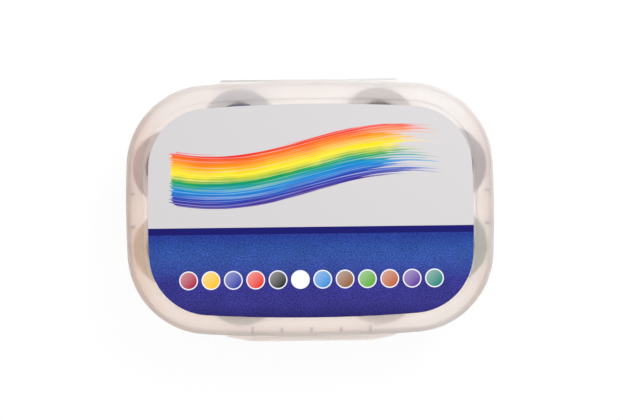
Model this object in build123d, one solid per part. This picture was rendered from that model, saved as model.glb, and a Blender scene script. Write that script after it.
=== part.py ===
"""A gouache paint set: a frosted polypropylene box with a hinged snap lid and twelve screw-capped jars.

Millimetres, +Z up. The origin is the middle of the tub's standing face, X runs along the box and -Y is its
front, where the pull tab is. The box is sized round its jars: the jar's bore sets the cap, the caps set the
spacing of the jars, and the jars with their clearances set the box.
"""

from build123d import *
import math
import os

# Jars. They stand in five staggered columns of two and three, so that each nests between its neighbours.
jar_bore_radius = 15.6
jar_wall = 1.1                # at the neck
jar_floor = 1.2
jar_height = 31.4             # to the rim of the neck
jar_shoulder_height = 24.6
jar_shoulder_step = 0.6       # the body stands this much outside the neck
jar_foot_bevel = 1.0
paint_gap = 0.05              # the fill's clearance in the bore
paint_headroom = 3.2          # from the fill up to the rim of the neck
jar_spacing = 1.4             # between two caps

# Caps, which turn on the neck
cap_play = 0.3
cap_wall = 1.3
cap_top = 1.5
cap_edge = 0.8                # bevel round the top
cap_seal_gap = 0.1            # above the rim of the neck
cap_skirt_gap = 0.6           # above the jar's shoulder

# Walls of the box and the room left round the jars
tub_wall = 1.0
tub_floor = 1.2
tub_draft = 1.0               # degrees, over the height of the wall
tub_base_round = 3.0
tub_floor_bevel = 0.6         # inside, where the wall meets the floor
lid_wall = 1.0
skirt_gap = 0.4               # from the lid's skirt to the tub's wall
parting_gap = 0.3             # from the skirt's lower edge to the tub's shoulder
jar_end_gap = 0.5             # from the wall to the nearest jars at the ends
jar_front_gap = 2.3           # and at the front
jar_back_gap = 0.4            # and at the back, as the jars stand towards the hinge
cap_headroom = 0.7            # from the caps to the lid's panel

# Outline seen from above
corner_radius = 39.0
side_bow_radius = 480.0       # the short sides bulge a little
front_bow_radius = 780.0      # and so do the long ones

# Lid
panel_thickness = 1.1
panel_inset = 8.5             # from the skirt to the edge of the sunk panel
panel_depth = 0.8             # the crown stands this much above the panel
crown_round = 3.2
crown_bevel = 1.6             # inside, under the round edge
skirt_height = 10.5           # from the crown down to the lower edge
label_inset = 10.2
label_thickness = 0.15
label_shift_x = 0.3           # it was stuck on a little to the right of the middle
label_shift_y = -1.0          # and a little towards the front

# Pull tab on the lid and the thumb notch in the tub's shoulder under it
tab_width = 81.0
tab_taper = 12.0              # length of each slanting end
tab_reach = 2.4
tab_thickness = 1.1
tab_round = 9.0
notch_width = 56.0
notch_round = 0.6
shoulder_thickness = 1.0

# Tub's rim: a tongue that stands up inside the skirt, with a stiffening ledge along the front
tongue_height = 5.0           # above the shoulder
ledge_depth = 1.5             # inwards from the wall
ledge_thickness = 1.1

# Stops: thin ribs under the lid's crown that land on the tub's rim
stop_thickness = 0.7
stop_clearance = 0.3          # above the rim
stop_reach = 3.0              # inwards from the skirt
front_stop_count = 5
side_stop_offset = 7.8        # either side of the middle of a short side

# Snap beads, one along the front and one on each short side
bead_height = 0.8
bead_reach = 0.15
tub_bead_drop = 1.6           # from the rim of the tongue to the tub's bead
bead_separation = 0.5         # the lid's bead passes under the tub's by this much

# Living hinge along the back
hinge_width = 86.0
hinge_overhang = 0.6          # from the outline to the axis, at the middle of the back
web_thickness = 0.35
web_end_margin = 1.0          # the web stops short of the flanges' ends

# Sizes that follow from these
neck_radius = jar_bore_radius + jar_wall
cap_bore_radius = neck_radius + cap_play
cap_radius = cap_bore_radius + cap_wall
jar_body_radius = neck_radius + jar_shoulder_step
jar_pitch = 2 * cap_radius + jar_spacing
column_pitch = jar_pitch * math.cos(math.pi / 6)
tub_inset = lid_wall + skirt_gap
bay_inset = tub_inset + tub_wall
jar_shift = (jar_front_gap - jar_back_gap) / 2

cap_roof_z = tub_floor + jar_height + cap_seal_gap
cap_top_z = cap_roof_z + cap_top
panel_low_z = cap_top_z + cap_headroom
panel_top_z = panel_low_z + panel_thickness
crown_z = panel_top_z + panel_depth
skirt_low_z = crown_z - skirt_height
shoulder_z = skirt_low_z - parting_gap
rim_z = shoulder_z + tongue_height
hinge_z = shoulder_z + parting_gap / 2


def bow(radius, half_chord):
    """How far an arc falls away from its crown at half_chord to one side."""
    return radius - math.sqrt(radius**2 - half_chord**2)


# A jar needs room at its cap, or at its foot where the drafted wall has come in
draft_run = (rim_z - tub_floor) * math.tan(math.radians(tub_draft))
jar_room = max(cap_radius, jar_body_radius + draft_run + tub_floor_bevel)
half_length = 2 * column_pitch + jar_room + jar_end_gap + bay_inset
half_length += bow(side_bow_radius, jar_pitch / 2 + jar_shift)
half_depth = jar_pitch + jar_room + (jar_front_gap + jar_back_gap) / 2 + bay_inset
half_depth += bow(front_bow_radius, column_pitch)
hinge_y = half_depth + hinge_overhang

colours = {
    (-2, 0.5): "carmine",
    (-2, -0.5): "yellow",
    (-1, 1): "ultramarine",
    (-1, 0): "scarlet",
    (-1, -1): "black",
    (0, 0.5): "white",
    (0, -0.5): "sky_blue",
    (1, 1): "brown",
    (1, 0): "leaf_green",
    (1, -1): "ochre",
    (2, 0.5): "violet",
    (2, -0.5): "emerald",
}


def outline(inset):
    """The lid's outline drawn in by inset: four shallow arcs joined by round corners."""
    side = Circle(side_bow_radius - inset)
    front = Circle(front_bow_radius - inset)
    side_offset = side_bow_radius - half_length
    front_offset = front_bow_radius - half_depth
    shape = Pos(side_offset, 0) * side & Pos(-side_offset, 0) * side
    shape = shape & Pos(0, front_offset) * front & Pos(0, -front_offset) * front
    return fillet(shape.vertices(), corner_radius - inset)


def slab(inset, low, high):
    """A plate of the outline's shape between two heights."""
    return Pos(0, 0, low) * extrude(outline(inset), high - low)


def ring(outer_inset, inner_inset, low, high):
    return slab(outer_inset, low, high) - slab(inner_inset, low, high)


def block(x_low, x_high, y_low, y_high, z_low, z_high):
    """A plain box given by its corners."""
    centre = Pos((x_low + x_high) / 2, (y_low + y_high) / 2, (z_low + z_high) / 2)
    return centre * Box(x_high - x_low, y_high - y_low, z_high - z_low)


def drafted(inset, low, high):
    """A plug of the outline's shape that narrows downwards."""
    return extrude(Pos(0, 0, high) * outline(inset), amount=low - high, taper=tub_draft)


def snap_zones():
    """The stretches of wall that carry a snap bead: along the front, and the middle of each short side."""
    half = side_stop_offset - stop_thickness
    front = block(-notch_width / 2, notch_width / 2, -half_depth, 0, 0, crown_z)
    return front + block(-half_length, half_length, -half, half, 0, crown_z)


def hinge_flange(low, high):
    """The back edge squared off to the straight line of the hinge."""
    return block(-hinge_width / 2, hinge_width / 2, half_depth / 2, hinge_y, low, high)


def make_tub():
    wall = drafted(tub_inset, 0, rim_z)
    wall = fillet(wall.edges().group_by(Axis.Z)[0], tub_base_round)
    shoulder = slab(0, shoulder_z - shoulder_thickness, shoulder_z)
    flange = hinge_flange(shoulder_z - shoulder_thickness, shoulder_z)
    notch_depth = -half_depth - tab_reach
    notch = block(-notch_width / 2, notch_width / 2, notch_depth, 0, 0, rim_z)
    notch = fillet(notch.edges().filter_by(Axis.Z), notch_round)
    bead_high = rim_z - tub_bead_drop
    bead = ring(tub_inset - bead_reach, bay_inset, bead_high - bead_height, bead_high) & snap_zones()
    hull = wall + (shoulder + flange - notch) + bead
    bay = drafted(bay_inset, tub_floor, rim_z)
    bay = chamfer(bay.edges().group_by(Axis.Z)[0], tub_floor_bevel)
    ledge = ring(tub_inset + tub_wall / 2, bay_inset + ledge_depth, rim_z - ledge_thickness, rim_z)
    ledge = ledge & block(-notch_width / 2, notch_width / 2, -half_depth, 0, 0, rim_z)
    return hull - bay + ledge


def make_stops(shell):
    """Ribs across the lid's hollow, inside its shell, from the crown down to just above the tub's rim."""
    low = rim_z + stop_clearance
    band = ring(lid_wall / 2, lid_wall + stop_reach, low, crown_z) & shell
    stops = Part()
    span = notch_width / (front_stop_count - 1)
    for index in range(front_stop_count):
        x = -notch_width / 2 + index * span
        half = stop_thickness / 2
        stops += band & block(x - half, x + half, -half_depth, -half_depth / 2, low, crown_z)
    for y in (-side_stop_offset, side_stop_offset):
        half = stop_thickness / 2
        stops += band & block(-half_length, half_length, y - half, y + half, low, crown_z)
    return stops


def make_tab():
    """The pull tab along the lower edge of the lid's front."""
    inner_y = -half_depth + panel_inset
    front_y = -half_depth - tab_reach
    half = tab_width / 2
    shape = Polygon(
        (-half, inner_y),
        (-half, -half_depth),
        (-half + tab_taper, front_y),
        (half - tab_taper, front_y),
        (half, -half_depth),
        (half, inner_y),
        align=None,
    )
    shape = fillet(shape.vertices().group_by(Axis.Y)[0], tab_round)
    return Pos(0, 0, skirt_low_z) * extrude(shape, tab_thickness)


def make_lid():
    shell = slab(0, skirt_low_z, crown_z)
    shell = fillet(shell.edges().group_by(Axis.Z)[-1], crown_round)
    sunk = slab(panel_inset, panel_top_z, crown_z)
    hollow = slab(lid_wall, skirt_low_z, crown_z - lid_wall)
    hollow = chamfer(hollow.edges().group_by(Axis.Z)[-1], crown_bevel)
    panel = slab(panel_inset - lid_wall, panel_low_z, crown_z)
    bead_high = rim_z - tub_bead_drop - bead_height - bead_separation
    bead = ring(lid_wall / 2, lid_wall + bead_reach, bead_high - bead_height, bead_high) & snap_zones()
    flange = hinge_flange(skirt_low_z, skirt_low_z + shoulder_thickness)
    outside = shell + flange + make_tab()
    return outside - (hollow - panel) - sunk + bead + make_stops(shell)


def make_label():
    return Pos(label_shift_x, label_shift_y) * slab(label_inset, panel_top_z, panel_top_z + label_thickness)


def make_hinge_web():
    """A strip folded back on itself, from the tub's flange round to the lid's."""
    inner = parting_gap / 2
    outer = inner + web_thickness
    fold = (Circle(outer) - Circle(inner)) & Pos(outer, 0) * Rectangle(2 * outer, 2 * outer)
    length = hinge_width - 2 * web_end_margin
    section = Plane(origin=(-length / 2, hinge_y, hinge_z), x_dir=(0, 1, 0), z_dir=(1, 0, 0)) * fold
    return extrude(section, length)


def turned(*points):
    """A solid of revolution about Z from its half section, given as (radius, height) points."""
    section = Plane.XZ * Polygon(*points, align=None)
    return revolve(section, Axis.Z)


def make_jar():
    return turned(
        (0, 0),
        (jar_body_radius - jar_foot_bevel, 0),
        (jar_body_radius, jar_foot_bevel),
        (jar_body_radius, jar_shoulder_height),
        (neck_radius, jar_shoulder_height),
        (neck_radius, jar_height),
        (jar_bore_radius, jar_height),
        (jar_bore_radius, jar_floor),
        (0, jar_floor),
    )


def make_paint():
    radius = jar_bore_radius - paint_gap
    top = jar_height - paint_headroom
    return turned((0, jar_floor), (radius, jar_floor), (radius, top), (0, top))


def make_cap():
    low = jar_shoulder_height + cap_skirt_gap
    roof = jar_height + cap_seal_gap
    top = roof + cap_top
    return turned(
        (0, roof),
        (cap_bore_radius, roof),
        (cap_bore_radius, low),
        (cap_radius, low),
        (cap_radius, top - cap_edge),
        (cap_radius - cap_edge, top),
        (0, top),
    )


def jar_place(column, row):
    return Pos(column * column_pitch, row * jar_pitch + jar_shift, tub_floor)


def save(name, shape):
    export_step(shape, f"parts/{name}.step")


def main():
    os.makedirs("parts", exist_ok=True)
    save("tub", make_tub())
    save("lid", make_lid())
    save("label", make_label())
    save("hinge_web", make_hinge_web())
    for (column, row), colour in colours.items():
        place = jar_place(column, row)
        save(f"jar_{colour}", place * make_jar())
        save(f"paint_{colour}", place * make_paint())
        save(f"cap_{colour}", place * make_cap())


main()
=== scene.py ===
import collections
import functools
import math

import bmesh
import bpy
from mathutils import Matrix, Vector


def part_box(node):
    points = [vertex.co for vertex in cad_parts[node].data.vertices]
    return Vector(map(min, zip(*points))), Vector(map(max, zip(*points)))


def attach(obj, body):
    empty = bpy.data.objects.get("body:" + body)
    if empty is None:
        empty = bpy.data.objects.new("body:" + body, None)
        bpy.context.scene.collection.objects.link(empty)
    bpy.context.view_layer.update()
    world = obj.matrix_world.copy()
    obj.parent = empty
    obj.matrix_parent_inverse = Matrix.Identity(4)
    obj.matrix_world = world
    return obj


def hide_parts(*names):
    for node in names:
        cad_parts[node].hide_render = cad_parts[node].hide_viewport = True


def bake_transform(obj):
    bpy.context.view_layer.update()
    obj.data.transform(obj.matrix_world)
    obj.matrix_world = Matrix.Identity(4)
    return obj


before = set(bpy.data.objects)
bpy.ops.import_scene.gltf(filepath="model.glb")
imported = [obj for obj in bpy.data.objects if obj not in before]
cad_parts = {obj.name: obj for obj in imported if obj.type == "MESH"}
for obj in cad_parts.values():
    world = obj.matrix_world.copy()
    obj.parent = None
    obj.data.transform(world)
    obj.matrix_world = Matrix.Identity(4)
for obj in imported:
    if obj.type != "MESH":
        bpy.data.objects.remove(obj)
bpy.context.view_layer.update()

bl_info = {
    "name": "Gouache Paint Set",
    "version": (1, 0, 0),
    "blender": (4, 5, 0),
    "location": "View3D > Sidebar > Paint Set",
    "description": "Finishes a frosted paint box: its case, printed label, screw-capped jars and studio",
    "category": "Object",
}

MM = 0.001

LID_LOW, LID_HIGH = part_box("lid")
WEB_LOW, WEB_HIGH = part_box("hinge_web")
LABEL_LOW, LABEL_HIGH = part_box("label")
LABEL_CENTRE = (LABEL_LOW + LABEL_HIGH) / 2
LABEL_SIZE = LABEL_HIGH - LABEL_LOW

# The lid's outline from the front edge of its skirt to the back edge, in millimetres
HINGE_OVERHANG = 0.6
SKIRT_BACK = LID_HIGH.y / MM - HINGE_OVERHANG
SKIRT_FRONT = -SKIRT_BACK
TAB_REACH = SKIRT_FRONT - LID_LOW.y / MM
LID_TOP = LID_HIGH.z / MM
PANEL_TOP = LABEL_LOW.z / MM
PANEL_THICKNESS = 1.1

# Behind this line there are only the thin flanges that the hinge joins
FLANGE_START = SKIRT_BACK + 0.05

# Thickness of the hinge's strip, and the number of flats round its fold
WEB_THICKNESS = 0.35 * MM
WEB_STEPS = 12

# Sides of a round jar, and points along the outline of one groove of a cap
JAR_SIDES = 72
POINTS_PER_KNURL = 4

# Kept between a jar's foot and the tub's floor, so that the two faces aren't one
FACE_GAP = 0.02 * MM

# Points nearer than this are one point
SAME = 1e-7

# How the frosted plastic varies over the case, in millimetres and in shares of the warm tint
CLOUD_SIZE = 24.0
CLOUD_WARMTH = 0.25
WARMTH_AT_MIDDLE = 0.14
# Painted shade: the warm, darker tint grows to the left, to the front and at the short ends
PAINTED_SHADE_PER_MM_RIGHT = -0.0014
PAINTED_SHADE_PER_MM_BACK = -0.0018
PAINTED_SHADE_AT_ENDS = 0.2
ENDS_START, ENDS_FULL = 68.0, 82.0

# How much of the lid's warm tint and painted shade the tub has, as its walls let less of it show
TUB_WARMTH = 0.4

# A surface is an outer one, a standing wall or the panel's step from these values of its outward facing
OUTER, STANDING, INWARD = 0.1, 0.7, -0.3

# How far off a point may lie and still be on the panel's top, or in the panel
LEVEL_SLACK = 0.1
PANEL_SLACK = 0.15

# The mould's texture changes the roughness by this much
GRAIN_ROUGHNESS = 0.08

# Clarity: what the short ends have on top, that of the panel's step, and that over a cap
CLARITY_AT_ENDS = 0.1
STEP_CLARITY = 0.3
CONTACT_CLARITY = 0.93
CONTACT_ROUGHNESS = 0.1

# How far the clear spots over the caps run in under the label
CONTACT_LAP = 1.5

# Painted shade along the lid's outer edge: its height, the foot where it fades out, and its share at the
# back
SHADE_HEIGHT = 0.7
SHADE_FOOT_LOW, SHADE_FOOT_HIGH = 5.0, 3.5
SHADE_AT_ENDS = 0.5
LIT_START, LIT_FULL = 35.0, 58.0
SHADE_AT_BACK = 0.4

# Stop ribs in the front row, how many of them are the short inner ones, and how dark their painted shade is
FRONT_RIBS = 5
INNER_RIBS = 3
RIB_STRENGTH = 0.45

# The painted shade of the row's two outer ribs is longer and fainter than that of the inner ones, and that
# of the side ribs is thinner
OUTER_RIB_LENGTH = 1.5
OUTER_RIB_STRENGTH = 0.7
SIDE_RIB_WIDTH = 0.8

# The painted shade in the groove along the tab: its place as a share of the tab's reach, its half width and
# half length, and its strength
GROOVE_PLACE = 0.63
GROOVE_HALF_WIDTH = 0.2
GROOVE_HALF_LENGTH = 28.0
GROOVE_STRENGTH = 0.3

# Nearly all values of a noise lie between these
NOISE_LOW, NOISE_HIGH = 0.3, 0.7

# Jar wall: clarity above the paint, spacing of its ripples, and half the blur of the paint's edge
JAR_CLARITY = 0.85
RIPPLE_SIZE = 9.0
WET_BLUR = 0.1

# Swirls in the paint, and how bright their darker part is
SWIRL_SIZE = 7.0
SWIRL_SHADE = 0.8

# The caps' natural resin is milky and greys the pigment: the pigment's share, and the white it adds
PIGMENT_SHARE = 0.6
RESIN_WHITE = 0.03

# A cap's sink marks and fine grain
SINK_SIZE = 6.0
SINK_SHADE = 0.75
SINK_STRENGTH = 0.2
CAP_GRAIN = 0.6
CAP_ROUGHNESS = 0.3
CAP_ROUGHNESS_CHANGE = 0.12

# Grain and clouds in the lower field's print, and how much brighter and darker they make it
PRINT_GRAIN = 0.7
PRINT_SPARKLE = 0.65
PRINT_CLOUD = 14.0
PRINT_MOTTLE = 0.1

# Round swatches: height of their row as a share of the field, a rim's width and soft edge, and the shine
SWATCH_ROW = 0.42
SWATCH_RIM = 0.5
SWATCH_BLUR = 0.1
SWATCH_SHINE = 0.22
SHINE_REACH = 1.4
RIM_WHITE = 0xE4E4EA

# Brush stroke: one swing as a share of the label's length, its streaks, and how much they bend the colours
SWING_LENGTH = 1.15
STREAK_LENGTH = 70.0
DRIFT_SIZE = 16.0
STREAK_BEND = 0.16

# Pale and dark streaks: the noise at which they begin and are full, and how pale or dark they get
PALE_FROM, PALE_TO, PALENESS = 0.5, 0.8, 0.45
DARK_FROM, DARK_TO, DARKNESS = 0.5, 0.25, 0.5

# Where the stroke wears thin: everywhere, at its edges as shares of its half width, and at its start and
# tail as shares of the label's length
BASE_WEAR = 0.22
EDGE_FROM, EDGE_TO, EDGE_WEAR = 0.86, 1.04, 0.6
START_FROM, START_TO, START_WEAR = -0.45, -0.41, 0.6
TAIL_FROM, TAIL_TO, TAIL_WEAR = 0.08, 0.46, 0.48
WEAR_BLUR = 0.03

# Waves of the film, and the white of its adhesive side
CURL_SIZE = 40.0
BACK_WHITE = 0xF6F6F4

# Floor: half its width in metres, its drop under the box, and how much of its white shines by itself
FLOOR_REACH = 3.0
FLOOR_DROP = 0.05 * MM
FLOOR_GLOW = 0.88

# The card's fibres, in millimetres
FIBRE_SIZE = 3.0
FIBRE_STRENGTH = 0.01
FIBRE_GREY = 0xE8E8E8

# Each lamp's place and width, and what both point at, in metres
KEY_PLACE, KEY_WIDTH = (0.35, 0.45, 0.55), 0.4
FILL_PLACE, FILL_WIDTH = (-0.7, -0.5, 0.9), 0.9
LAMP_TARGET = (0, 0, 0.03)

# Camera: its film's width in millimetres, how far it sees in metres, and what lies in mid picture
SENSOR_WIDTH = 36.0
VIEW_REACH = 20
PICTURE_MIDDLE = (-0.04 * MM, -0.7 * MM)

WHITE = 0xFFFFFF

# Paint colours as they look in the pot
PAINTS = {
    "carmine": 0xA3173F,
    "yellow": 0xF4B80C,
    "ultramarine": 0x24359B,
    "scarlet": 0xD92F1A,
    "black": 0x17181B,
    "white": 0xEFEEE9,
    "sky_blue": 0x2C86CB,
    "brown": 0x855630,
    "leaf_green": 0x57A02B,
    "ochre": 0xB0582A,
    "violet": 0x5A2F93,
    "emerald": 0x0B7B6E,
}

# Printed colours of the label, from the foot of the lower field up, as (share of its height, colour)
FIELD_BLUES = [
    (0.0, 0x231F60), (0.08, 0x2C2970), (0.16, 0x32307B), (0.4, 0x313081), (0.54, 0x304490),
    (0.65, 0x304B95), (0.76, 0x2A4891), (0.9, 0x223787),
]

# The broad stroke's colours from its lower edge up
STROKE_COLOURS = [
    (0.0, 0x4A1B7C), (0.15, 0x2A3FA8), (0.3, 0x1684C9), (0.45, 0x0C9A52), (0.6, 0xF4DC1C),
    (0.78, 0xF08A1C), (0.95, 0xDE2A1C),
]


def linear(colour):
    """An sRGB hex value as linear red, green, blue and alpha."""
    parts = [((colour >> shift) & 0xFF) / 255 for shift in (16, 8, 0)]
    bent = [c / 12.92 if c <= 0.04045 else ((c + 0.055) / 1.055) ** 2.4 for c in parts]
    return tuple(bent) + (1.0,)


def colour_property(name, description, colour):
    return bpy.props.FloatVectorProperty(
        name=name, description=description, default=linear(colour)[:3], subtype="COLOR", size=3,
        min=0, max=1,
    )


def length_property(name, description, millimetres):
    return bpy.props.FloatProperty(
        name=name, description=description, default=millimetres * MM, unit="LENGTH", min=0,
        precision=5,
    )


def share_property(name, description, share):
    return bpy.props.FloatProperty(
        name=name, description=description, default=share, subtype="FACTOR", min=0, max=1
    )


class CaseSettings(bpy.types.PropertyGroup):
    """Finish of the tub, the lid and the hinge between them"""

    plastic: colour_property("Plastic", "Tint of the frosted polypropylene", 0xFEFCFB)
    # Warm, darker tint: random clouds of tone, and painted shade towards the left, the front and the short
    # ends
    warm: colour_property("Warm flow", "Tint where the melt is densest, furthest from the gate", 0xF6DFCF)
    # Tint of the painted shade over the ribs, the tab's groove and the crown's edge
    mark: colour_property("Marks", "Tint over the ribs, the tab's groove and the crown's edge", 0xA9A3AA)
    edge_round: length_property("Edge rounding", "Radius of the moulded edges", 0.05)
    grain: length_property("Surface grain", "Spacing of the matt texture left by the mould", 0.5)
    frosting: share_property("Frosting", "Roughness of the plastic", 0.5)
    lid_clarity: share_property("Lid clarity", "Share of light that the lid lets in", 0.67)
    panel_clarity: share_property("Panel clarity", "Share of light that the lid's sunk panel lets in", 0.62)
    wall_clarity: share_property("Wall clarity", "Share of light that the walls let in from outside", 0.6)
    tub_clarity: share_property("Tub clarity", "Share of light that the tub lets in", 0.97)
    hinge_clarity: share_property("Hinge clarity", "Share of light that the living hinge lets in", 0.2)
    rib_spacing: length_property("Rib spacing", "Between the stop ribs along the front", 14.0)
    side_rib_spacing: length_property("Side rib spacing", "Between the stop ribs of a short side", 15.6)
    # The stop ribs' painted shade: its width, and where it starts and ends
    rib_width: length_property("Rib width", "Thickness of a stop rib, as blurred by the frosting", 1.3)
    rib_start: length_property("Rib start", "From the lid's edge to where a short rib shows", 2.4)
    rib_reach: length_property("Rib reach", "From the lid's edge to the inner end of a rib", 4.6)
    contact_radius: length_property("Contact radius", "Where a cap presses on the lid's panel", 11.9)
    contact_blur: length_property("Contact blur", "Width of the edge of that contact", 2.2)
    # How strong the painted shade is where the crown turns down
    crown_shade: share_property("Edge shade", "How much darker the crown is where it turns down", 0.18)


class LabelSettings(bpy.types.PropertyGroup):
    """Colours and layout of the printed label"""

    paper: colour_property("Paper", "White of the upper field", 0xC7C4C6)
    stripe: colour_property("Stripe", "Navy stripe between the two fields", 0x161464)
    field_height: length_property("Field height", "From the label's lower edge to the stripe's top", 43.0)
    stripe_width: length_property("Stripe width", "Width of the navy stripe", 3.3)
    swatch_pitch: length_property("Swatch pitch", "Distance between two of the round swatches", 10.6)
    swatch_radius: length_property("Swatch radius", "Radius of a round swatch", 3.9)
    stroke_width: length_property("Stroke width", "Width of the broad brush stroke", 27.0)
    stroke_swing: length_property("Stroke swing", "How far the stroke swings up and down", 7.5)
    bristle: length_property("Bristle width", "Spacing of the streaks of the stroke", 0.7)
    glue_line: length_property("Glue line", "Thickness of the clear adhesive under the label", 0.04)


class JarSettings(bpy.types.PropertyGroup):
    """Shape and colours of the jars and caps"""

    jar_plastic: colour_property("Jar plastic", "Tint of the clear jars", 0xF2F4F4)
    wall: length_property("Jar wall", "Thickness of the jar at its neck", 1.1)
    fill_gap: length_property("Fill gap", "Between the paint and the jar's bore", 0.05)
    shoulder_drop: length_property("Shoulder drop", "From the cap's lower edge to the jar's shoulder", 0.6)
    foot_round: length_property("Foot rounding", "Radius round the jar's foot", 1.2)
    foot_ring: length_property("Foot ring", "Width of the ring that the jar stands on", 3.2)
    foot_recess: length_property("Foot recess", "Depth of the hollow under the jar", 0.5)
    neck_round: length_property("Neck rounding", "Radius of the jar's shoulder and neck edges", 0.35)
    cap_wall: length_property("Cap wall", "Thickness of the cap's grip", 1.3)
    cap_roof: length_property("Cap roof", "Thickness of the cap's top", 1.5)
    cap_round: length_property("Cap rounding", "Radius round the cap's top", 0.8)
    cap_rim: length_property("Cap rim", "Width of the raised ring round the cap's top", 2.6)
    cap_recess: length_property("Cap recess", "Depth of the disc inside that ring", 0.35)
    knurl_depth: length_property("Knurl depth", "Depth of the grooves in the cap's grip", 0.35)
    knurl_margin: length_property("Knurl margin", "Plain band under the grooves", 0.9)
    knurl_runout: length_property("Knurl runout", "Height over which a groove fades out", 0.35)
    knurls: bpy.props.IntProperty(
        name="Knurls", description="Grooves round a cap", default=72, min=12, max=160
    )


for paint, value in PAINTS.items():
    words = paint.replace("_", " ")
    JarSettings.__annotations__[paint] = colour_property(
        words.capitalize(), f"Colour of the {words} paint", value
    )


class StageSettings(bpy.types.PropertyGroup):
    """Camera, lamps and floor"""

    camera_distance: length_property("Camera distance", "From the box's rim to the camera", 820.0)
    picture_width: length_property("Picture width", "What the camera sees at the box's rim", 297.6)
    turn: bpy.props.FloatProperty(
        name="Turn", description="The box's turn in the picture", default=math.radians(-0.7), subtype="ANGLE"
    )
    floor: colour_property("Floor", "Colour of the table", WHITE)
    sky: share_property("Sky", "Strength of the even light from all round", 0.92)
    key_power: bpy.props.FloatProperty(
        name="Key power", description="Watts of the main lamp", default=3.0, min=0
    )
    fill_power: bpy.props.FloatProperty(
        name="Fill power", description="Watts of the weak lamp", default=0.4, min=0
    )


# Nodes and materials


def add_node(tree, kind, *values, output=0, named=None, **settings):
    """Adds a shader node, sets or links its inputs, and gives back one of its outputs."""
    node = tree.nodes.new("ShaderNode" + kind)
    for name, value in settings.items():
        setattr(node, name, value)
    in_use = [socket for socket in node.inputs if socket.enabled]
    pairs = list(zip(in_use, values))
    pairs += [(node.inputs[name], value) for name, value in (named or {}).items()]
    for socket, value in pairs:
        if isinstance(value, bpy.types.NodeSocket):
            tree.links.new(value, socket)
        else:
            socket.default_value = value
    if isinstance(output, str):
        return node.outputs[output]
    results = [socket for socket in node.outputs if socket.enabled]
    return results[output] if results else None


def start_material(name):
    """A new material, a function that adds nodes to it, and its Object coordinates in millimetres."""
    material = bpy.data.materials.new(name)
    material.use_nodes = True
    material.node_tree.nodes.clear()
    node = functools.partial(add_node, material.node_tree)
    place = node("TexCoord", output="Object")
    return material, node, node("VectorMath", place, operation="SCALE", named={"Scale": 1 / MM})


def fill_ramp(factor_output, stops, interpolation="LINEAR"):
    """Sets the stops of a colour ramp, given by its output, from (place, hex colour) pairs."""
    band = factor_output.node.color_ramp
    band.interpolation = interpolation
    while len(band.elements) < len(stops):
        band.elements.new(1.0)
    for element, (place, colour) in zip(band.elements, stops):
        element.position = place
        element.color = linear(colour)
    return factor_output


def opaque(colour):
    return tuple(colour) + (1.0,)


def soft_band(node, value, middle, half, blur):
    """1 within half of the middle and 0 past it, with an edge as wide as the blur."""
    away = node("Math", node("Math", value, middle, operation="SUBTRACT"), operation="ABSOLUTE")
    return node("MapRange", away, half - blur / 2, half + blur / 2, 1.0, 0.0)


def painted_rib_shade(node, spot, settings):
    """Painted shade over the stop ribs under the crown: five along the front, and two on each short side."""
    half_width = settings.rib_width / MM / 2
    blur = half_width
    spacing = settings.rib_spacing / MM
    half_length = (settings.rib_reach - settings.rib_start) / MM / 2
    rib_middle = (settings.rib_reach + settings.rib_start) / MM / 2

    phase = node("Math", spot.across, 1 / spacing, 0.5, operation="MULTIPLY_ADD")
    in_cell = node("Math", phase, operation="FRACT")
    offset = node("Math", in_cell, spacing, -spacing / 2, operation="MULTIPLY_ADD")
    on_line = soft_band(node, offset, 0.0, half_width, blur)
    in_row = node("Math", spot.across, 0.0, FRONT_RIBS / 2 * spacing, operation="COMPARE")
    inner = node("Math", spot.across, 0.0, INNER_RIBS / 2 * spacing, operation="COMPARE")
    front = SKIRT_FRONT + rib_middle
    short = soft_band(node, spot.deep, front, half_length, blur)
    long = soft_band(node, spot.deep, front, half_length * OUTER_RIB_LENGTH, blur)
    long = node("Math", long, OUTER_RIB_STRENGTH, operation="MULTIPLY")
    lengthwise = node("Mix", inner, long, short)
    front_ribs = node("Math", on_line, in_row, operation="MULTIPLY")
    front_ribs = node("Math", front_ribs, lengthwise, operation="MULTIPLY")

    from_middle = node("Math", spot.deep, operation="ABSOLUTE")
    side_line = settings.side_rib_spacing / 2 / MM
    on_side_line = soft_band(node, from_middle, side_line, half_width * SIDE_RIB_WIDTH, blur)
    outward = node("Math", spot.across, operation="ABSOLUTE")
    near_side = soft_band(node, outward, LID_HIGH.x / MM - rib_middle, half_length, blur)
    side_ribs = node("Math", on_side_line, near_side, operation="MULTIPLY")
    ribs = node("Math", front_ribs, side_ribs, operation="MAXIMUM")
    return node("Math", ribs, RIB_STRENGTH, operation="MULTIPLY")


def painted_groove_shade(node, spot):
    """Painted shade in the groove along the tab, over the thumb notch."""
    line = LID_LOW.y / MM + GROOVE_PLACE * TAB_REACH
    in_groove = node("Math", spot.deep, line, GROOVE_HALF_WIDTH, operation="COMPARE")
    over_notch = node("Math", spot.across, 0.0, GROOVE_HALF_LENGTH, operation="COMPARE")
    groove = node("Math", in_groove, over_notch, operation="MULTIPLY")
    return node("Math", groove, GROOVE_STRENGTH, operation="MULTIPLY")


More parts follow.
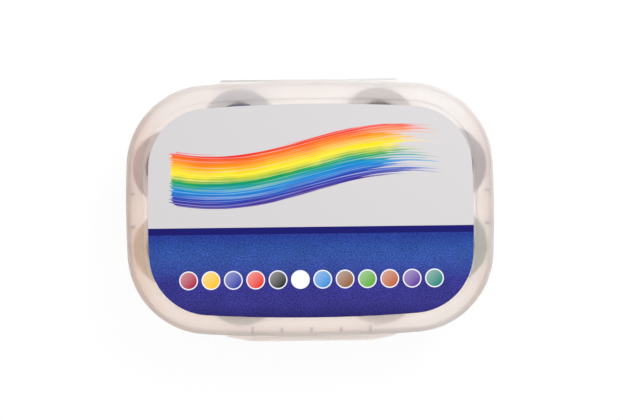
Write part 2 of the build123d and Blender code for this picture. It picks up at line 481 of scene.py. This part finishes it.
def cap_contact(node, spot, settings):
    """Where the caps press on the sunk panel beside the label, and the frosting scatters nothing."""
    flat = node("VectorMath", spot.place, (1.0, 1.0, 0.0), operation="MULTIPLY")
    nearest = None
    for paint in PAINTS:
        low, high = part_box(f"cap_{paint}")
        centre = (low + high) / 2 / MM
        away = node("VectorMath", flat, (centre.x, centre.y, 0.0), operation="DISTANCE", output="Value")
        nearest = away if nearest is None else node("Math", nearest, away, operation="MINIMUM")
    pressed = soft_band(node, nearest, 0.0, settings.contact_radius / MM, settings.contact_blur / MM)

    # The margin round the label, on both faces of the panel
    past = []
    for value, middle, size in (
        (spot.across, LABEL_CENTRE.x, LABEL_SIZE.x), (spot.deep, LABEL_CENTRE.y, LABEL_SIZE.y),
    ):
        offset = node("Math", value, middle / MM, operation="SUBTRACT")
        away = node("Math", offset, operation="ABSOLUTE")
        past.append(node("Math", away, size / 2 / MM - CONTACT_LAP, operation="GREATER_THAN"))
    margin = node("Math", *past, operation="MAXIMUM")
    half = PANEL_THICKNESS / 2
    in_panel = node("Math", spot.high, PANEL_TOP - half, half + PANEL_SLACK, operation="COMPARE")
    beside_label = node("Math", pressed, margin, operation="MULTIPLY")
    return node("Math", beside_label, in_panel, operation="MULTIPLY")


Spot = collections.namedtuple("Spot", "place across deep high facing ends")


def read_spot(node, place):
    """Where a point of the case is, how much it faces outwards, and how far into a short end it lies."""
    split = node("SeparateXYZ", place).node.outputs
    across, deep, high = split["X"], split["Y"], split["Z"]
    sideways = node("VectorMath", place, (1.0, 1.0, 0.0), operation="MULTIPLY")
    outward = node("VectorMath", sideways, operation="NORMALIZE")
    normal = node("NewGeometry", output="Normal")
    facing = node("VectorMath", normal, outward, operation="DOT_PRODUCT", output="Value")
    ends = node("MapRange", node("Math", across, operation="ABSOLUTE"), ENDS_START, ENDS_FULL)
    return Spot(place, across, deep, high, facing, ends)


def warm_and_shade_share(node, spot):
    """Warm tint: random clouds of tone, and painted shade growing to the left, the front and the short ends.
    """
    flow = node("TexNoise", named={"Vector": spot.place, "Scale": 1 / CLOUD_SIZE, "Detail": 3.0})
    share = node("Math", spot.across, PAINTED_SHADE_PER_MM_RIGHT, WARMTH_AT_MIDDLE, operation="MULTIPLY_ADD")
    share = node("Math", spot.deep, PAINTED_SHADE_PER_MM_BACK, share, operation="MULTIPLY_ADD")
    share = node("Math", spot.ends, PAINTED_SHADE_AT_ENDS, share, operation="MULTIPLY_ADD")
    return node("Math", flow, CLOUD_WARMTH, share, operation="MULTIPLY_ADD", use_clamp=True)


def edge_shade(node, spot, settings):
    """Painted shade on the crown's outer edge, which is seen along the skirt, through its whole height."""
    shade = node("MapRange", spot.high, LID_TOP, LID_TOP - SHADE_HEIGHT, 0.0, settings.crown_shade)
    # The skirt is lit from behind at the back, where little of that painted shade is left
    lit = node("MapRange", spot.deep, LIT_START, LIT_FULL, 1.0, SHADE_AT_BACK)
    fading = node("MapRange", spot.high, LID_TOP - SHADE_FOOT_LOW, LID_TOP - SHADE_FOOT_HIGH)
    amount = node("Math", spot.ends, SHADE_AT_ENDS, fading, operation="MULTIPLY_ADD")
    outer = node("Math", spot.facing, OUTER, operation="GREATER_THAN")
    where = node("Math", outer, amount, operation="MULTIPLY")
    shade = node("Math", shade, lit, operation="MULTIPLY")
    return node("Math", shade, where, operation="MULTIPLY")


def lid_see_through(node, spot, contact, settings):
    """Share of light that the lid lets in: most over a cap, more at the short ends, least at the step."""
    share = node("Math", spot.ends, CLARITY_AT_ENDS, settings.lid_clarity, operation="MULTIPLY_ADD")
    on_panel = node("Math", spot.high, PANEL_TOP, LEVEL_SLACK, operation="COMPARE")
    share = node("Mix", on_panel, share, settings.panel_clarity)
    inward = node("Math", spot.facing, INWARD, operation="LESS_THAN")
    above = node("Math", spot.high, PANEL_TOP, operation="GREATER_THAN")
    on_step = node("Math", inward, above, operation="MULTIPLY")
    share = node("Mix", on_step, share, STEP_CLARITY)
    return node("Mix", contact, share, CONTACT_CLARITY)


def frosted_polypropylene(settings, part, clarity):
    """Random-copolymer polypropylene from a matt mould: milky, with blurred shapes behind a soft sheen."""
    material, node, place = start_material(f"frosted_polypropylene_{part}")
    spot = read_spot(node, place)
    warm = warm_and_shade_share(node, spot)
    standing = node("Math", spot.facing, STANDING, operation="GREATER_THAN")
    grain = node("TexNoise", named={"Vector": place, "Scale": MM / settings.grain, "Detail": 4.0})
    smoothest = settings.frosting - GRAIN_ROUGHNESS / 2
    rough = node("Math", grain, GRAIN_ROUGHNESS, smoothest, operation="MULTIPLY_ADD")
    see_through = clarity
    if part == "tub":
        warm = node("Math", warm, TUB_WARMTH, operation="MULTIPLY")
        # Its rim stands inside the lid, and is as smooth as the inside
        below_lid = node("Math", spot.high, LID_LOW.z / MM, operation="LESS_THAN")
        standing = node("Math", standing, below_lid, operation="MULTIPLY")
    # The warm tint holds random clouds of tone and painted shade towards the left, the front and the short
    # ends
    tint = node("Mix", warm, opaque(settings.plastic), opaque(settings.warm), data_type="RGBA")
    if part == "lid":
        # Painted shade on the crown's edge, over the stop ribs and in the tab's groove: the tint is mixed
        # towards the shade tint
        shade, ribs = edge_shade(node, spot, settings), painted_rib_shade(node, spot, settings)
        for share in (shade, ribs, painted_groove_shade(node, spot)):
            tint = node("Mix", share, tint, opaque(settings.mark), data_type="RGBA")
        contact = cap_contact(node, spot, settings)
        see_through = lid_see_through(node, spot, contact, settings)
        rough = node("Mix", contact, rough, CONTACT_ROUGHNESS)
    # The mould's texture is coarser on the outside of the standing walls, which look whiter
    see_through = node("Mix", standing, see_through, settings.wall_clarity)
    if part != "hinge":
        # The hinge's flanges are thin and lie on nothing, so they look nearly white
        thin = node("Math", spot.deep, FLANGE_START, operation="GREATER_THAN")
        tint = node("Mix", thin, tint, linear(WHITE), data_type="RGBA")
        see_through = node("Math", see_through, thin, operation="MAXIMUM")

    rounded = node("Bevel", settings.edge_round, samples=4)
    bump = node("Bump", named={"Strength": 0.15, "Distance": 0.02 * MM, "Height": grain, "Normal": rounded})
    shader = node(
        "BsdfPrincipled",
        named={
            "Base Color": tint, "Roughness": rough, "IOR": 1.3, "Transmission Weight": see_through,
            "Normal": bump,
        },
    )
    node("OutputMaterial", shader)
    return material


def clear_polypropylene(settings, paint, fill_top):
    """Blow-moulded polypropylene jar: clearer and glossier than the case, and wetted by its paint."""
    material, node, place = start_material(f"clear_polypropylene_{paint}")
    height = node("SeparateXYZ", place, output="Z")
    wet = node("MapRange", height, fill_top / MM + WET_BLUR, fill_top / MM - WET_BLUR)
    pigment = opaque(getattr(settings, paint))
    colour = node("Mix", wet, opaque(settings.jar_plastic), pigment, data_type="RGBA")
    clear = node("MapRange", wet, 0.0, 1.0, JAR_CLARITY, 0.0)
    ripple = node("TexNoise", named={"Vector": place, "Scale": 1 / RIPPLE_SIZE})
    bump = node("Bump", named={"Strength": 0.1, "Distance": 0.1 * MM, "Height": ripple})
    shader = node(
        "BsdfPrincipled",
        named={
            "Base Color": colour, "Roughness": 0.22, "IOR": 1.49, "Transmission Weight": clear,
            "Normal": bump,
        },
    )
    node("OutputMaterial", shader)
    return material


def gouache(name, colour):
    """Thick opaque paint: dead matt, with slow swirls left by filling."""
    material, node, place = start_material(f"gouache_{name}")
    swirl = node("TexNoise", named={"Vector": place, "Scale": 1 / SWIRL_SIZE, "Detail": 3.0})
    deep = opaque(c * SWIRL_SHADE for c in colour)
    body = node("Mix", swirl, deep, opaque(colour), data_type="RGBA")
    shader = node("BsdfPrincipled", named={"Base Color": body, "Roughness": 0.75, "IOR": 1.45})
    node("OutputMaterial", shader)
    return material


def moulded_cap(name, colour):
    """Injection-moulded polyethylene cap: even colour, satin, with faint sink marks."""
    material, node, place = start_material(f"cap_polyethylene_{name}")
    colour = tuple(PIGMENT_SHARE * c + RESIN_WHITE for c in colour)
    sink = node("TexNoise", named={"Vector": place, "Scale": 1 / SINK_SIZE})
    fine = node("TexNoise", named={"Vector": place, "Scale": 1 / CAP_GRAIN, "Detail": 3.0})
    sunk = node("Math", sink, SINK_STRENGTH, operation="MULTIPLY")
    deep = opaque(c * SINK_SHADE for c in colour)
    body = node("Mix", sunk, opaque(colour), deep, data_type="RGBA")
    rough = node("Math", fine, CAP_ROUGHNESS_CHANGE, CAP_ROUGHNESS, operation="MULTIPLY_ADD")
    bump = node("Bump", named={"Strength": 0.12, "Distance": 0.05 * MM, "Height": sink})
    looks = {"Base Color": body, "Roughness": rough, "IOR": 1.5, "Normal": bump}
    shader = node("BsdfPrincipled", named=looks)
    node("OutputMaterial", shader)
    return material


# The printed label


def blue_field(node, place, up, settings):
    """The lower field's blue, which darkens to violet towards the foot, with a fine printed grain."""
    bottom = -LABEL_SIZE.y / 2 / MM
    top = bottom + settings.field_height / MM
    share = node("MapRange", up, bottom, top)
    blue = fill_ramp(node("ValToRGB", share), FIELD_BLUES)
    grain = node(
        "TexNoise", named={"Vector": place, "Scale": 1 / PRINT_GRAIN, "Detail": 3.0, "Roughness": 0.7}
    )
    cloud = node("TexNoise", named={"Vector": place, "Scale": 1 / PRINT_CLOUD, "Detail": 2.0})
    ink = node(
        "Math", node("MapRange", grain, NOISE_LOW, NOISE_HIGH, 1 - PRINT_SPARKLE, 1 + PRINT_SPARKLE),
        node("MapRange", cloud, NOISE_LOW, NOISE_HIGH, 1 - PRINT_MOTTLE, 1 + PRINT_MOTTLE),
        operation="MULTIPLY",
    )
    return node("VectorMath", blue, operation="SCALE", named={"Scale": ink})


def swatches(node, across, up, settings, ground):
    """Twelve round swatches of the paints in a row across the lower field, each with a white rim."""
    count = len(PAINTS)
    pitch = settings.swatch_pitch / MM
    radius = settings.swatch_radius / MM
    row = -LABEL_SIZE.y / 2 / MM + SWATCH_ROW * settings.field_height / MM
    along = node("Math", across, 1 / pitch, count / 2, operation="MULTIPLY_ADD")
    in_cell = node("Math", along, operation="FRACT")
    in_cell = node("Math", in_cell, pitch, -pitch / 2, operation="MULTIPLY_ADD")
    rise = node("Math", up, row, operation="SUBTRACT")
    in_swatch = node("CombineXYZ", in_cell, rise)
    from_middle = node("VectorMath", in_swatch, operation="LENGTH", output="Value")
    number = node("Math", along, operation="FLOOR")
    wanted = node("Math", number, 1 / count, 0.5 / count, operation="MULTIPLY_ADD")
    stops = [(index / count, colour) for index, colour in enumerate(PAINTS.values())]
    colour = fill_ramp(node("ValToRGB", wanted), stops, "CONSTANT")
    # Each swatch is brighter towards the upper left
    lit = node("Math", rise, in_cell, operation="SUBTRACT")
    reach = SHINE_REACH * radius
    shine = node("MapRange", lit, -reach, reach, 0.0, SWATCH_SHINE)
    domed = node("Mix", shine, colour, linear(WHITE), data_type="RGBA")
    inside = node("Math", wanted, 0.5, 0.5, operation="COMPARE")
    rim = radius + SWATCH_RIM
    in_rim = node("MapRange", from_middle, rim, rim + SWATCH_BLUR, 1.0, 0.0)
    in_rim = node("Math", in_rim, inside, operation="MULTIPLY")
    in_disc = soft_band(node, from_middle, 0.0, radius, SWATCH_BLUR)
    in_disc = node("Math", in_disc, inside, operation="MULTIPLY")
    ringed = node("Mix", in_rim, ground, linear(RIM_WHITE), data_type="RGBA")
    return node("Mix", in_disc, ringed, domed, data_type="RGBA")


def broad_stroke(node, place, across, up, settings, ground):
    """A brush stroke loaded with seven colours, which swings across the upper field and runs dry."""
    length = LABEL_SIZE.x / MM
    half = settings.stroke_width / MM / 2
    swing = settings.stroke_swing / MM
    middle = settings.field_height / 2 / MM
    phase = node("Math", across, 2 * math.pi / (SWING_LENGTH * length), operation="MULTIPLY")
    wave = node("Math", phase, operation="SINE")
    centre = node("Math", wave, swing, middle, operation="MULTIPLY_ADD")
    rise = node("Math", up, centre, operation="SUBTRACT")
    side = node("Math", rise, 1 / half, operation="MULTIPLY")

    streak_place = node(
        "CombineXYZ", node("Math", across, 1 / STREAK_LENGTH, operation="MULTIPLY"),
        node("Math", side, half / (settings.bristle / MM), operation="MULTIPLY"),
    )
    streaks = node("TexNoise", named={"Vector": streak_place, "Scale": 1.0, "Detail": 3.0, "Roughness": 0.6})
    drift = node("TexNoise", named={"Vector": place, "Scale": 1 / DRIFT_SIZE, "Detail": 2.0})
    bend = node("Math", streaks, drift, operation="ADD")
    bend = node("Math", bend, STREAK_BEND, -STREAK_BEND, operation="MULTIPLY_ADD")
    from_edge = node("Math", side, 0.5, 0.5, operation="MULTIPLY_ADD")
    share = node("Math", from_edge, bend, operation="ADD")
    colour = fill_ramp(node("ValToRGB", share), STROKE_COLOURS)
    pale = node("MapRange", streaks, PALE_FROM, PALE_TO, 0.0, PALENESS)
    dark = node("MapRange", streaks, DARK_FROM, DARK_TO, 0.0, DARKNESS)
    colour = node("Mix", pale, colour, linear(WHITE), data_type="RGBA")
    shade = node("Mix", dark, colour, colour, data_type="RGBA", blend_type="MULTIPLY")

    away = node("Math", side, operation="ABSOLUTE")
    edge = node("MapRange", away, EDGE_FROM, EDGE_TO, 0.0, EDGE_WEAR)
    start = node("MapRange", across, START_FROM * length, START_TO * length, START_WEAR, 0.0)
    tail = node("MapRange", across, TAIL_FROM * length, TAIL_TO * length, 0.0, TAIL_WEAR)
    wear = node("Math", node("Math", edge, start, operation="ADD"), tail, operation="ADD")
    limit = node("Math", wear, BASE_WEAR, operation="ADD")
    left = node("Math", streaks, limit, operation="SUBTRACT")
    cover = node("MapRange", left, 0.0, WEAR_BLUR)
    return node("Mix", cover, ground, shade, data_type="RGBA")


def printed_film(settings):
    """Offset-printed polypropylene film under a matt laminate: crisp inks and hardly any gloss."""
    material, node, place = start_material("printed_film")
    centred = node("VectorMath", place, LABEL_CENTRE / MM, operation="SUBTRACT")
    split = node("SeparateXYZ", centred).node.outputs
    across, up = split["X"], split["Y"]
    upper = broad_stroke(node, centred, across, up, settings, opaque(settings.paper))
    lower = swatches(node, across, up, settings, blue_field(node, centred, up, settings))
    top = -LABEL_SIZE.y / 2 / MM + settings.field_height / MM
    below_top = node("Math", up, top, operation="LESS_THAN")
    below_stripe = node("Math", up, top - settings.stripe_width / MM, operation="LESS_THAN")
    inks = node("Mix", below_top, upper, opaque(settings.stripe), data_type="RGBA")
    inks = node("Mix", below_stripe, inks, lower, data_type="RGBA")
    # The adhesive side is plain white
    printed_side = node("Math", split["Z"], 0.0, operation="GREATER_THAN")
    inks = node("Mix", printed_side, linear(BACK_WHITE), inks, data_type="RGBA")
    curl = node("TexNoise", named={"Vector": place, "Scale": 1 / CURL_SIZE})
    bump = node("Bump", named={"Strength": 0.1, "Distance": 0.3 * MM, "Height": curl})
    shader = node(
        "BsdfPrincipled",
        named={
            "Base Color": inks, "Roughness": 0.48, "IOR": 1.5, "Specular IOR Level": 0.08, "Normal": bump,
        },
    )
    node("OutputMaterial", shader)
    return material


def seen_directly(node):
    """1 where the eye sees the surface, mirrored or through a clear one too, and 0 where it only lights."""
    paths = node("LightPath").node.outputs
    straight = node("Math", paths["Is Camera Ray"], paths["Is Glossy Ray"], operation="ADD")
    return node("Math", straight, paths["Is Transmission Ray"], operation="ADD", use_clamp=True)


def white_card(colour):
    """Matt white card, which shows its own colour and keeps the shadow of what stands on it."""
    material, node, place = start_material("white_card")
    fibre = node("TexNoise", named={"Vector": place, "Scale": 1 / FIBRE_SIZE, "Detail": 4.0})
    fibre = node("Math", fibre, FIBRE_STRENGTH, operation="MULTIPLY")
    body = node("Mix", fibre, opaque(colour), linear(FIBRE_GREY), data_type="RGBA")
    shader = node("BsdfPrincipled", named={"Base Color": body, "Roughness": 0.9, "Specular IOR Level": 0.1})
    glow = node("Emission", opaque(colour), 1.0)
    share = node("Math", seen_directly(node), FLOOR_GLOW, operation="MULTIPLY")
    node("OutputMaterial", node("MixShader", share, shader, glow))
    return material


# Modelling


def new_piece(name, mesh, material, node):
    """A finished piece with a material of its own, which stands for a CAD node and hides it."""
    piece = bpy.data.objects.new(name, mesh)
    bpy.context.scene.collection.objects.link(piece)
    mesh.materials.append(material)
    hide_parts(node)
    return piece


def to_mesh(name, bm, smooth=True):
    mesh = bpy.data.meshes.new(name)
    bm.to_mesh(mesh)
    bm.free()
    for polygon in mesh.polygons:
        polygon.use_smooth = smooth
    return mesh


def finish_node(name, material):
    """Gives a CAD node its material."""
    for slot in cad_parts[name].material_slots:
        slot.material = material


def turned_section(points, rounds):
    """A bmesh with the edges of a half section in the XZ plane; rounds are given by a corner's number."""
    bm = bmesh.new()
    corners = [bm.verts.new((radius, 0, height)) for radius, height in points]
    bm.faces.new(corners)
    for number, radius in rounds.items():
        bmesh.ops.bevel(
            bm, geom=[corners[number]], offset=radius, offset_type="OFFSET", segments=4,
            profile=0.5, affect="VERTICES", material=-1,
        )
    bmesh.ops.delete(bm, geom=bm.faces[:], context="FACES_ONLY")
    on_axis = [edge for edge in bm.edges if all(abs(v.co.x) < SAME for v in edge.verts)]
    bmesh.ops.delete(bm, geom=on_axis, context="EDGES")
    return bm


def spin(bm, steps):
    """Turns a half section about Z into a closed solid."""
    bmesh.ops.spin(
        bm, geom=bm.verts[:] + bm.edges[:], cent=(0, 0, 0), axis=(0, 0, 1), dvec=(0, 0, 0),
        angle=2 * math.pi, steps=steps, use_merge=True, use_normal_flip=False, use_duplicate=False,
    )
    bmesh.ops.remove_doubles(bm, verts=bm.verts, dist=SAME)
    bmesh.ops.recalc_face_normals(bm, faces=bm.faces)


# Pieces, and the operators that make them


def hinge_mesh(name, axis):
    """The hinge: a strip thinner than the walls, folded as half a turn of a flat bar round its axis."""
    outer = WEB_HIGH.y - WEB_LOW.y
    inner = outer - WEB_THICKNESS
    ends = (WEB_LOW.x, WEB_HIGH.x)
    bm = bmesh.new()
    corners = [bm.verts.new((x, 0, -radius)) for radius in (outer, inner) for x in ends]
    bm.faces.new([corners[0], corners[1], corners[3], corners[2]])
    bmesh.ops.spin(
        bm, geom=bm.verts[:] + bm.edges[:] + bm.faces[:], cent=(0, 0, 0), axis=(1, 0, 0),
        dvec=(0, 0, 0), angle=math.pi, steps=WEB_STEPS, use_merge=False, use_normal_flip=False,
        use_duplicate=False,
    )
    bmesh.ops.translate(bm, verts=bm.verts, vec=axis)
    bmesh.ops.recalc_face_normals(bm, faces=bm.faces)
    return to_mesh(name, bm)


class PAINTSET_OT_case(bpy.types.Operator):
    """Finishes the tub and the lid, and moulds the living hinge between them"""

    bl_idname = "paintset.case"
    bl_label = "Finish the Case"

    def execute(self, context):
        settings = context.scene.paint_case
        finish_node("lid", frosted_polypropylene(settings, "lid", settings.lid_clarity))
        finish_node("tub", frosted_polypropylene(settings, "tub", settings.tub_clarity))

        axis = Vector((0, WEB_LOW.y, (WEB_LOW.z + WEB_HIGH.z) / 2))
        plastic = frosted_polypropylene(settings, "hinge", settings.hinge_clarity)
        mesh = hinge_mesh("hinge_strip", axis)
        strip = new_piece("hinge_strip", mesh, plastic, "hinge_web")
        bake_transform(strip)
        return {"FINISHED"}


def label_mesh(name, glue_line):
    """The label's film, with its back raised off the panel by the glue line."""
    bm = bmesh.new()
    bm.from_mesh(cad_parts["label"].data)
    bmesh.ops.remove_doubles(bm, verts=bm.verts, dist=SAME)
    back = [vertex for vertex in bm.verts if vertex.co.z < LABEL_CENTRE.z]
    bmesh.ops.translate(bm, verts=back, vec=(0, 0, glue_line))
    return to_mesh(name, bm, smooth=False)


class PAINTSET_OT_label(bpy.types.Operator):
    """Prints the label"""

    bl_idname = "paintset.label"
    bl_label = "Print the Label"

    def execute(self, context):
        settings = context.scene.paint_label
        mesh = label_mesh("label_printed", settings.glue_line)
        film = new_piece("label_printed", mesh, printed_film(settings), "label")
        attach(film, "lid")
        return {"FINISHED"}


def jar_mesh(name, settings, paint):
    """A jar with a ring to stand on, a plain wall and a stepped neck, round its paint and in its cap."""
    low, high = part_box(f"jar_{paint}")
    fill_low, fill_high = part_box(f"paint_{paint}")
    cap_low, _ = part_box(f"cap_{paint}")
    body = (high.x - low.x) / 2
    top = high.z - low.z
    bore = (fill_high.x - fill_low.x) / 2 + settings.fill_gap
    neck = bore + settings.wall
    floor = fill_low.z - low.z
    shoulder = cap_low.z - low.z - settings.shoulder_drop
    recess = settings.foot_recess
    ring = body - settings.foot_ring
    points = [
        (0, recess), (ring - recess, recess), (ring, 0), (body, 0), (body, shoulder), (neck, shoulder),
        (neck, top), (bore, top), (bore, floor), (0, floor),
    ]
    # The foot, the shoulder and the rim of the neck
    rounds = {3: settings.foot_round, 4: settings.neck_round, 6: settings.neck_round}
    bm = turned_section(points, rounds)
    spin(bm, JAR_SIDES)
    centre = (low + high) / 2
    bmesh.ops.translate(bm, verts=bm.verts, vec=(centre.x, centre.y, low.z + FACE_GAP))
    return to_mesh(name, bm)


class PAINTSET_OT_jars(bpy.types.Operator):
    """Moulds the twelve jars and fills them with paint"""

    bl_idname = "paintset.jars"
    bl_label = "Mould the Jars"

    def execute(self, context):
        settings = context.scene.paint_jars
        for paint in PAINTS:
            plastic = clear_polypropylene(settings, paint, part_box(f"paint_{paint}")[1].z)
            finish_node(f"paint_{paint}", gouache(paint, getattr(settings, paint)))
            name = f"jar_{paint}_moulded"
            mesh = jar_mesh(name, settings, paint)
            jar = new_piece(name, mesh, plastic, f"jar_{paint}")
            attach(jar, "box")
        return {"FINISHED"}


def cap_mesh(name, settings, paint):
    """A screw cap with a grooved grip and a shallow recess in its top."""
    low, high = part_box(f"cap_{paint}")
    radius = (high.x - low.x) / 2
    top = high.z - low.z
    bore = radius - settings.cap_wall
    roof = top - settings.cap_roof
    grip_low = settings.knurl_margin
    grip_high = top - settings.cap_round - settings.knurl_margin
    disc = top - settings.cap_recess
    ring = radius - settings.cap_rim
    points = [
        (0, roof), (bore, roof), (bore, 0), (radius, 0), (radius, grip_low),
        (radius, grip_low + settings.knurl_runout), (radius, grip_high - settings.knurl_runout),
        (radius, grip_high), (radius, top), (ring, top), (ring - settings.cap_recess, disc),
        (0, disc),
    ]
    # The edge round the top
    bm = turned_section(points, {8: settings.cap_round})
    spin(bm, settings.knurls * POINTS_PER_KNURL)
    tiny = 0.01 * MM
    for vertex in bm.verts:
        outward = Vector((vertex.co.x, vertex.co.y, 0))
        in_grip = grip_low + tiny < vertex.co.z < grip_high - tiny
        if in_grip and outward.length > radius - tiny:
            turn = math.atan2(outward.y, outward.x)
            depth = settings.knurl_depth * (0.5 - 0.5 * math.cos(settings.knurls * turn))
            vertex.co -= outward.normalized() * depth
    centre = (low + high) / 2
    bmesh.ops.translate(bm, verts=bm.verts, vec=(centre.x, centre.y, low.z))
    return to_mesh(name, bm)


class PAINTSET_OT_caps(bpy.types.Operator):
    """Moulds the twelve screw caps"""

    bl_idname = "paintset.caps"
    bl_label = "Mould the Caps"

    def execute(self, context):
        settings = context.scene.paint_jars
        for paint in PAINTS:
            name = f"cap_{paint}_grooved"
            mesh = cap_mesh(name, settings, paint)
            material = moulded_cap(paint, getattr(settings, paint))
            cap = new_piece(name, mesh, material, f"cap_{paint}")
            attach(cap, f"cap_{paint}")
        return {"FINISHED"}


def area_lamp(name, place, width, power):
    """Adds a square lamp that points at the box."""
    data = bpy.data.lights.new(name, "AREA")
    data.shape = "SQUARE"
    data.size = width
    data.energy = power
    lamp = bpy.data.objects.new(name, data)
    bpy.context.scene.collection.objects.link(lamp)
    lamp.location = place
    beam = Vector(LAMP_TARGET) - Vector(place)
    lamp.rotation_euler = beam.to_track_quat("-Z", "Y").to_euler()


class PAINTSET_OT_stage(bpy.types.Operator):
    """Sets up the floor, the lamps and the camera"""

    bl_idname = "paintset.stage"
    bl_label = "Set the Stage"

    def execute(self, context):
        scene = context.scene
        settings = scene.paint_stage
        bm = bmesh.new()
        bmesh.ops.create_grid(bm, x_segments=1, y_segments=1, size=FLOOR_REACH)
        bmesh.ops.translate(bm, verts=bm.verts, vec=(0, 0, -FLOOR_DROP))
        floor = bpy.data.objects.new("floor", to_mesh("floor", bm, smooth=False))
        floor.data.materials.append(white_card(settings.floor))
        scene.collection.objects.link(floor)

        world = bpy.data.worlds.new("studio")
        world.use_nodes = True
        background = world.node_tree.nodes["Background"]
        background.inputs["Color"].default_value = linear(WHITE)
        # The sky is seen as white as the floor, so that no horizon shows
        node = functools.partial(add_node, world.node_tree)
        seen = seen_directly(node)
        strength = node("Math", seen, 1 - settings.sky, settings.sky, operation="MULTIPLY_ADD")
        world.node_tree.links.new(strength, background.inputs["Strength"])
        scene.world = world
        area_lamp("key", KEY_PLACE, KEY_WIDTH, settings.key_power)
        area_lamp("fill", FILL_PLACE, FILL_WIDTH, settings.fill_power)

        camera_data = bpy.data.cameras.new("camera")
        camera_data.sensor_width = SENSOR_WIDTH
        camera_data.lens = SENSOR_WIDTH * settings.camera_distance / settings.picture_width
        camera_data.clip_end = VIEW_REACH
        camera = bpy.data.objects.new("camera", camera_data)
        camera.location = (*PICTURE_MIDDLE, LID_LOW.z + settings.camera_distance)
        camera.rotation_euler = (0, 0, settings.turn)
        scene.collection.objects.link(camera)
        scene.camera = camera
        scene.view_settings.view_transform = "Standard"
        return {"FINISHED"}


class PAINTSET_PT_panel(bpy.types.Panel):
    """Lists the steps and settings of the paint set"""

    bl_label = "Paint Set"
    bl_idname = "PAINTSET_PT_panel"
    bl_space_type = "VIEW_3D"
    bl_region_type = "UI"
    bl_category = "Paint Set"

    def draw(self, context):
        for group_name in SETTINGS:
            group = getattr(context.scene, group_name)
            box = self.layout.box()
            for name in group.__annotations__:
                box.prop(group, name)
        for step in STEPS:
            self.layout.operator(step.bl_idname)


STEPS = (PAINTSET_OT_case, PAINTSET_OT_label, PAINTSET_OT_jars, PAINTSET_OT_caps, PAINTSET_OT_stage)
SETTINGS = {
    "paint_case": CaseSettings,
    "paint_label": LabelSettings,
    "paint_jars": JarSettings,
    "paint_stage": StageSettings,
}


def register():
    for cls in (*SETTINGS.values(), *STEPS, PAINTSET_PT_panel):
        bpy.utils.register_class(cls)
    for name, group in SETTINGS.items():
        setattr(bpy.types.Scene, name, bpy.props.PointerProperty(type=group))


def unregister():
    for name in SETTINGS:
        delattr(bpy.types.Scene, name)
    for cls in reversed((*SETTINGS.values(), *STEPS, PAINTSET_PT_panel)):
        bpy.utils.unregister_class(cls)


def main():
    register()
    bpy.ops.paintset.case()
    bpy.ops.paintset.label()
    bpy.ops.paintset.jars()
    bpy.ops.paintset.caps()
    bpy.ops.paintset.stage()


if __name__ == "__main__":
    main()
